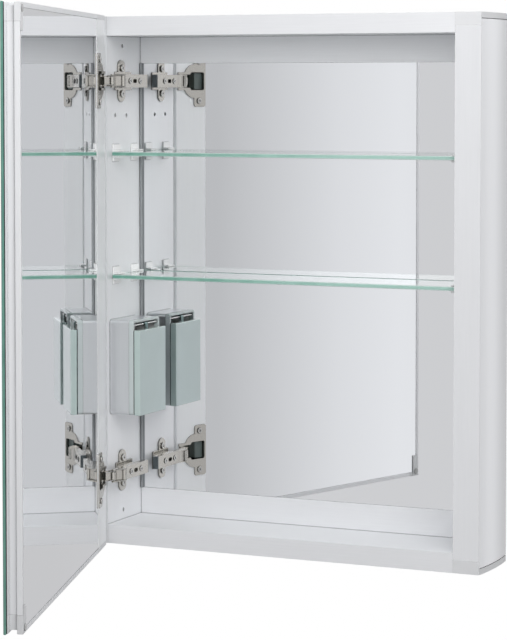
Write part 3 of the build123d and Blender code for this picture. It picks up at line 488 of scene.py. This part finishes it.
class StageSettings(bpy.types.PropertyGroup):
    """Light and camera."""
    light: bpy.props.FloatProperty(
        name="Light", description="Brightness of the room on matt things",
        default=0.3, min=0.0, max=3.0)
    lamp: bpy.props.FloatProperty(
        name="Lamp", description="Power of the soft lamp",
        default=17.0, min=0.0, max=100.0, unit="POWER")
    focal: bpy.props.FloatProperty(
        name="Focal length", description="Focal length for a sensor 36 mm high",
        default=138.0, min=20.0, max=300.0, unit="CAMERA")


def settings():
    """The scene's sizes and colours."""
    return bpy.context.scene.cabinet_settings


def stage_settings():
    """The scene's light and camera settings."""
    return bpy.context.scene.stage_settings


# Stage

def build_floor():
    """A wide pale floor well below the hanging cabinet, which the camera sees white."""
    bpy.ops.object.select_all(action="DESELECT")
    bpy.ops.mesh.primitive_plane_add(size=FLOOR_SIZE, location=(0, 0, FLOOR_LEVEL))
    floor = bpy.context.object
    floor.name = "studio_floor"
    material, tree, output = new_material("studio_floor")
    place = add_node(tree, "ShaderNodeTexCoord")
    cloud = add_node(tree, "ShaderNodeTexNoise", inputs={"Scale": 0.8},
                     links={"Vector": place.outputs["Object"]})
    tone = add_node(tree, "ShaderNodeMapRange", inputs={"To Min": 0.62, "To Max": 0.66},
                    links={"Value": cloud.outputs["Fac"]})
    pale = add_node(tree, "ShaderNodeBsdfDiffuse", links={"Color": tone.outputs["Result"]})
    white = add_node(tree, "ShaderNodeEmission", inputs={"Strength": 1.0})
    mix = add_node(tree, "ShaderNodeMixShader", links={"Fac": seen_directly(tree)})
    tree.links.new(pale.outputs["BSDF"], mix.inputs[1])
    tree.links.new(white.outputs["Emission"], mix.inputs[2])
    tree.links.new(mix.outputs["Shader"], output.inputs["Surface"])
    floor.data.materials.append(material)
    # The mirrors show the room's walls right down, with no line where the floor would begin
    floor.visible_glossy = False


def build_room(scene, light):
    """A plain pale room: white to the camera, even light on matt things, several greys in the mirrors."""
    world = bpy.data.worlds.new("room")
    scene.world = world
    world.use_nodes = True
    tree = world.node_tree
    tree.nodes.clear()
    output = add_node(tree, "ShaderNodeOutputWorld")
    ray = add_node(tree, "ShaderNodeLightPath")
    place = add_node(tree, "ShaderNodeTexCoord")
    part = add_node(tree, "ShaderNodeSeparateXYZ", links={"Vector": place.outputs["Generated"]})
    # On matt things it is a tenth lighter from above than from below
    height = add_node(tree, "ShaderNodeMapRange",
                      inputs={"From Min": -0.6, "From Max": 0.8, "To Min": light * 0.95,
                              "To Max": light * 1.05},
                      links={"Value": part.outputs["Z"]})
    walls = add_node(tree, "ShaderNodeBackground", inputs={"Color": WHITE},
                     links={"Strength": height.outputs["Result"]})
    # Mirrors and metal see a bright ceiling above the walls
    ceiling = add_node(tree, "ShaderNodeMapRange",
                       inputs={"From Min": 0.03, "From Max": 0.15, "To Min": 1.0, "To Max": CEILING},
                       links={"Value": part.outputs["Z"]})
    seen = add_node(tree, "ShaderNodeBackground",
                    links={"Color": room_tone(tree, place.outputs["Generated"]),
                           "Strength": ceiling.outputs["Result"]})
    white = add_node(tree, "ShaderNodeBackground", inputs={"Color": WHITE, "Strength": 1.0})
    inner = add_node(tree, "ShaderNodeMixShader", links={"Fac": ray.outputs["Is Glossy Ray"]})
    tree.links.new(walls.outputs["Background"], inner.inputs[1])
    tree.links.new(seen.outputs["Background"], inner.inputs[2])
    mix = add_node(tree, "ShaderNodeMixShader", links={"Fac": seen_directly(tree)})
    tree.links.new(inner.outputs["Shader"], mix.inputs[1])
    tree.links.new(white.outputs["Background"], mix.inputs[2])
    tree.links.new(mix.outputs["Shader"], output.inputs["Surface"])


def build_lamps(scene, power):
    """A broad soft lamp high in front, and a weak one low on the right. Neither shows in the mirrors."""
    for name, place, share, width in LAMPS:
        lamp_data = bpy.data.lights.new(name, "AREA")
        lamp_data.energy = power * share
        lamp_data.size = width
        lamp = bpy.data.objects.new(name, lamp_data)
        lamp.visible_glossy = False
        scene.collection.objects.link(lamp)
        lamp.location = place
        lamp.rotation_euler = (LAMP_AIM - Vector(place)).to_track_quat("-Z", "Y").to_euler()


def build_camera(scene, focal):
    """The camera, at the photograph's viewing angle."""
    camera_data = bpy.data.cameras.new("camera")
    camera_data.sensor_fit = "VERTICAL"
    camera_data.sensor_height = SENSOR_HEIGHT
    camera_data.lens = focal
    camera_data.shift_x, camera_data.shift_y = CAMERA_SHIFT
    camera_data.clip_end = 50.0
    camera = bpy.data.objects.new("camera", camera_data)
    scene.collection.objects.link(camera)
    camera.location = CAMERA_PLACE
    camera.rotation_euler = CAMERA_ANGLES
    scene.camera = camera


# Operators

class CABINET_OT_stage(bpy.types.Operator):
    """Set the floor, the light and the camera"""
    bl_idname = "cabinet.stage"
    bl_label = "Stage"

    def execute(self, context):
        scene = context.scene
        scene.view_settings.view_transform = "Standard"
        build_floor()
        build_room(scene, stage_settings().light)
        build_lamps(scene, stage_settings().lamp)
        build_camera(scene, stage_settings().focal)
        return {"FINISHED"}


class CABINET_OT_metal_body(bpy.types.Operator):
    """Finish the drawn aluminium sides, top, bottom and back channels"""
    bl_idname = "cabinet.metal_body"
    bl_label = "Metal body"

    def execute(self, context):
        edge = settings().edge_softness / MM
        metal = settings().aluminium
        upright = drawn_aluminium("anodised_aluminium_upright", metal, roughness=0.38)
        broad = drawn_aluminium("anodised_aluminium_broad", metal, roughness=0.22, metallic=0.45)
        left = softened_copy("side_panel_left", upright, edge)
        right = softened_copy("side_panel_right", broad, edge)
        # The broad side's rounded front corner shows as a thin grey line, so it gets a darker metal:
        # painted shade
        paint_faces(right, drawn_aluminium("aluminium_corner_painted_shade", "#B9BBBE", roughness=0.4),
                    lambda face: face.normal.x > CORNER_LEAN and face.normal.y < -CORNER_LEAN)
        # The step under each cap lies in shadow, so its faces get a near-black material: painted shadow
        shadow = moulded_plastic("cap_step_painted_shadow", "#3A3B3D", roughness=0.6)
        for side in (left, right):
            paint_faces(side, shadow, lambda face: abs(face.center.z) > CAP_STEP)
        level = drawn_aluminium("anodised_aluminium_level", metal, roughness=0.38, lines_along=LINES_ACROSS)
        for node in ("top_panel", "bottom_panel", "back_rail_upper", "back_rail_lower"):
            softened_copy(node, level, edge * 0.7)
        cap = moulded_plastic("silver_cap", "#EAEBED", roughness=0.35)
        for end in ("top_left", "top_right", "bottom_left", "bottom_right"):
            softened_copy(f"end_cap_{end}", cap, edge)
        paint("back_board", moulded_plastic("painted_board", "#D6D6D4", roughness=0.6, grain_mm=1.5))
        # The beads that hold the mirror get a near-black material on their faces towards the sides: painted
        # shadow of the crease against each side
        bead = moulded_plastic("grey_bead", "#96999C", roughness=0.5, least_seam_shade=0.6)
        crease_shadow = moulded_plastic("bead_crease_painted_shadow", "#18191A", roughness=0.5)
        for node, towards_side in (("mirror_bead_left", -1.0), ("mirror_bead_right", 1.0)):
            piece = softened_copy(node, bead, edge_mm=0.8, segments=3)
            paint_faces(piece, crease_shadow, lambda face: face.normal.x * towards_side > LIP_LEAN)
        zinc = plated_steel("zinc_plate", "#B9B9B8", roughness=0.4)
        for node in ("hanger_plate_left", "hanger_plate_right", "hanger_rivets", "frame_screws"):
            paint(node, zinc)
        return {"FINISHED"}


class CABINET_OT_mirrors(bpy.types.Operator):
    """Finish the silvered glass at the back and on both faces of the door"""
    bl_idname = "cabinet.mirrors"
    bl_label = "Mirrors"

    def execute(self, context):
        silver = silvered_mirror("silvered_glass", settings().silver)
        edge = glass_edge("mirror_glass_edge", "#4F8F80", "#7CBBAA")
        for node, through in (("back_mirror", TO_THE_WALL), ("door_mirror_inner", DOOR_INWARD),
                              ("door_mirror_outer", DOOR_INWARD)):
            piece = softened_copy(node, silver, edge_mm=0.3)
            paint_faces(piece, edge, lambda face: abs(face.normal.dot(through)) <= MIRROR_ACROSS)
        paint("door_backing", moulded_plastic("black_backing", "#0C0D0D", roughness=0.7))
        return {"FINISHED"}


class CABINET_OT_shelves(bpy.types.Operator):
    """Finish the glass shelves and their clips"""
    bl_idname = "cabinet.shelves"
    bl_label = "Shelves"

    def execute(self, context):
        clear = clear_glass("shelf_glass_face", "#F4FBF8")
        edge = glass_edge("shelf_glass_edge", settings().glass_green, "#B4DACF")
        # The shelves' bevels between face and edge are near-white: painted highlight along the edges
        arris = glass_edge("shelf_arris_painted_highlight", "#C4E4DA", "#DDF3EC")
        for node in ("shelf_upper", "shelf_lower"):
            piece = softened_copy(node, clear, edge_mm=0.8)
            paint_faces(piece, edge, lambda face: abs(face.normal.z) <= ALONG_AXIS)
            paint_faces(piece, arris, lambda face: ALONG_AXIS < abs(face.normal.z) <= ACROSS_AXIS)
        # The clear clips are made white, nearly without transmission: painted highlight in place of the
        # glints on clear plastic
        clip = moulded_plastic("clear_clip_painted_highlight", "#FFFFFF", roughness=0.12, transmission=0.06, least_seam_shade=0.75)
        softened_copy("shelf_clips", clip, edge_mm=0.35)
        return {"FINISHED"}


class CABINET_OT_hinges(bpy.types.Operator):
    """Finish the concealed hinges, their links and screws"""
    bl_idname = "cabinet.hinges"
    bl_label = "Hinges"

    def execute(self, context):
        nickel = plated_steel("nickel_plate", settings().nickel, roughness=0.22)
        screw = plated_steel("bright_screw", "#C9C8C5", roughness=0.2)
        for level in ("upper", "lower"):
            for kind, edge in (("hinge_plate", 0.5), ("hinge_arm", 0.35), ("long_link", 0.25),
                               ("short_link", 0.25), ("hinge_cup", 0.3)):
                softened_copy(f"{kind}_{level}", nickel, edge)
        for node, heads in (("plate_screws", INTO_CABINET), ("arm_screws", INTO_CABINET),
                            ("cup_screws", DOOR_INWARD)):
            softened_copy(node, screw, edge_mm=0.4, heads=heads)
        for node in ("arm_pins", "nose_pins", "cup_pins", "cup_rods"):
            paint(node, screw)
        dark = moulded_plastic("dark_moulding", "#6E7678", roughness=0.4)
        softened_copy("arm_covers", dark, edge_mm=0.3)
        housing = moulded_plastic("grey_housing", "#5E6A67", roughness=0.35, least_seam_shade=0.5)
        softened_copy("cup_liners", housing, edge_mm=0.3)
        return {"FINISHED"}


class CABINET_OT_side_box(bpy.types.Operator):
    """Finish the small box on the hinge side and its flip-up glass cover"""
    bl_idname = "cabinet.side_box"
    bl_label = "Side box"

    def execute(self, context):
        metal = drawn_aluminium("brushed_box", settings().box_metal, roughness=0.3, depth=0.08,
                                metallic=0.8)
        shell = softened_copy("box_shell", metal, edge_mm=0.6)
        faces = shell.data.polygons
        middle = sum((face.center for face in faces), Vector()) / len(faces)
        # The shell's inside is near-white: partly the lining's own colour, partly painted light for the dim
        # inside of the box
        paint_faces(shell, moulded_plastic("white_lining_painted_light", "#FAFAFA", roughness=0.6),
                    lambda face: face.normal.dot(middle - face.center) > 0.0)
        # Outside, the shell's ends towards the cabinet's side and the rim lie in their seams, so they get a
        # near-black material: painted shadow
        paint_faces(shell, moulded_plastic("box_end_painted_shadow", "#2C3332", roughness=0.6),
                    lambda face: face.material_index == 0 and abs(face.normal.x) > ALONG_AXIS)
        rim = moulded_plastic("clear_rim", "#D5DEDE", roughness=0.2, transmission=0.15)
        softened_copy("box_rim", rim, edge_mm=0.4)
        backed = backed_glass("cover_glass_face", settings().cover_glass)
        cover = softened_copy("box_cover", backed, edge_mm=0.3)
        # Its glass edges are green: the arris towards the box is made dark as painted shade, and its other
        # edges pale as painted light
        paint_faces(cover, glass_edge("cover_edge_painted_light", "#D2E6E2", "#E8F4F1"),
                    lambda face: -ALONG_AXIS <= face.normal.x <= ACROSS_AXIS)
        paint_faces(cover, glass_edge("cover_arris_painted_shade", "#3E5C58", "#4A6A66"),
                    lambda face: -ACROSS_AXIS <= face.normal.x < -ALONG_AXIS)
        steel = plated_steel("box_steel", "#C0C0BF", roughness=0.25)
        softened_copy("box_screws", steel, edge_mm=0.2, heads=INTO_CABINET)
        # The strap is plated steel, made dark green-grey as painted shade of the gap under the cover that
        # it lies in
        dark = plated_steel("strap_painted_shade", "#6F8482", roughness=0.3)
        softened_copy("box_strap", dark, edge_mm=0.2)
        paint("box_pin", steel)
        return {"FINISHED"}


class CABINET_OT_door_frame(bpy.types.Operator):
    """Finish the door's stiles, rails, corners and bumpers"""
    bl_idname = "cabinet.door_frame"
    bl_label = "Door frame"

    def execute(self, context):
        edge = settings().edge_softness / MM
        # The hinge stile, whose inner face shows in the mirrors, is made near-white with little seam shade:
        # painted light
        inner = drawn_aluminium("stile_inner_painted_light", "#FAFBFC", roughness=0.36, reach_mm=0.6)
        # The free stile's seam shade reaches further, into its finger channel: painted shade
        upright = drawn_aluminium("anodised_door_upright", "#E6E7E9", roughness=0.36, reach_mm=2.5)
        level = drawn_aluminium("anodised_door_level", "#EBECEE", roughness=0.36,
                                lines_along=LINES_ALONG_DOOR)
        softened_copy("hinge_stile", inner, edge)
        softened_copy("free_stile", upright, edge)
        for node in ("door_rail_top", "door_rail_bottom"):
            softened_copy(node, level, edge)
        corner = moulded_plastic("silver_corner", "#E4E5E7", roughness=0.4)
        for node in ("door_corner_top", "door_corner_bottom", "stile_cap_top", "stile_cap_bottom"):
            softened_copy(node, corner, edge_mm=0.3)
        bumper = moulded_plastic("clear_bumper", "#E8E8E8", roughness=0.25, transmission=0.4)
        softened_copy("door_bumpers", bumper, edge_mm=0.4, segments=3)
        return {"FINISHED"}


class CABINET_PT_panel(bpy.types.Panel):
    """Buttons for each group of the cabinet"""
    bl_idname = "CABINET_PT_panel"
    bl_label = "Medicine cabinet"
    bl_space_type = "VIEW_3D"
    bl_region_type = "UI"
    bl_category = "Cabinet"

    def draw(self, context):
        for group in (context.scene.cabinet_settings, context.scene.stage_settings):
            for name in group.__annotations__:
                self.layout.prop(group, name)
        for operator in OPERATORS:
            self.layout.operator(operator.bl_idname)


GROUPS = (CabinetSettings, StageSettings)
OPERATORS = (CABINET_OT_stage, CABINET_OT_metal_body, CABINET_OT_mirrors, CABINET_OT_shelves,
             CABINET_OT_hinges, CABINET_OT_side_box, CABINET_OT_door_frame)


def register():
    """Register the settings, the operators and the panel."""
    for item in (*GROUPS, *OPERATORS, CABINET_PT_panel):
        bpy.utils.register_class(item)
    bpy.types.Scene.cabinet_settings = bpy.props.PointerProperty(type=CabinetSettings)
    bpy.types.Scene.stage_settings = bpy.props.PointerProperty(type=StageSettings)


def unregister():
    """Take away what register added."""
    del bpy.types.Scene.stage_settings
    del bpy.types.Scene.cabinet_settings
    for item in reversed((*GROUPS, *OPERATORS, CABINET_PT_panel)):
        bpy.utils.unregister_class(item)


def main():
    """Build the stage and every piece."""
    register()
    bpy.ops.cabinet.stage()
    bpy.ops.cabinet.metal_body()
    bpy.ops.cabinet.mirrors()
    bpy.ops.cabinet.shelves()
    bpy.ops.cabinet.hinges()
    bpy.ops.cabinet.side_box()
    bpy.ops.cabinet.door_frame()


if __name__ == "__main__":
    main()
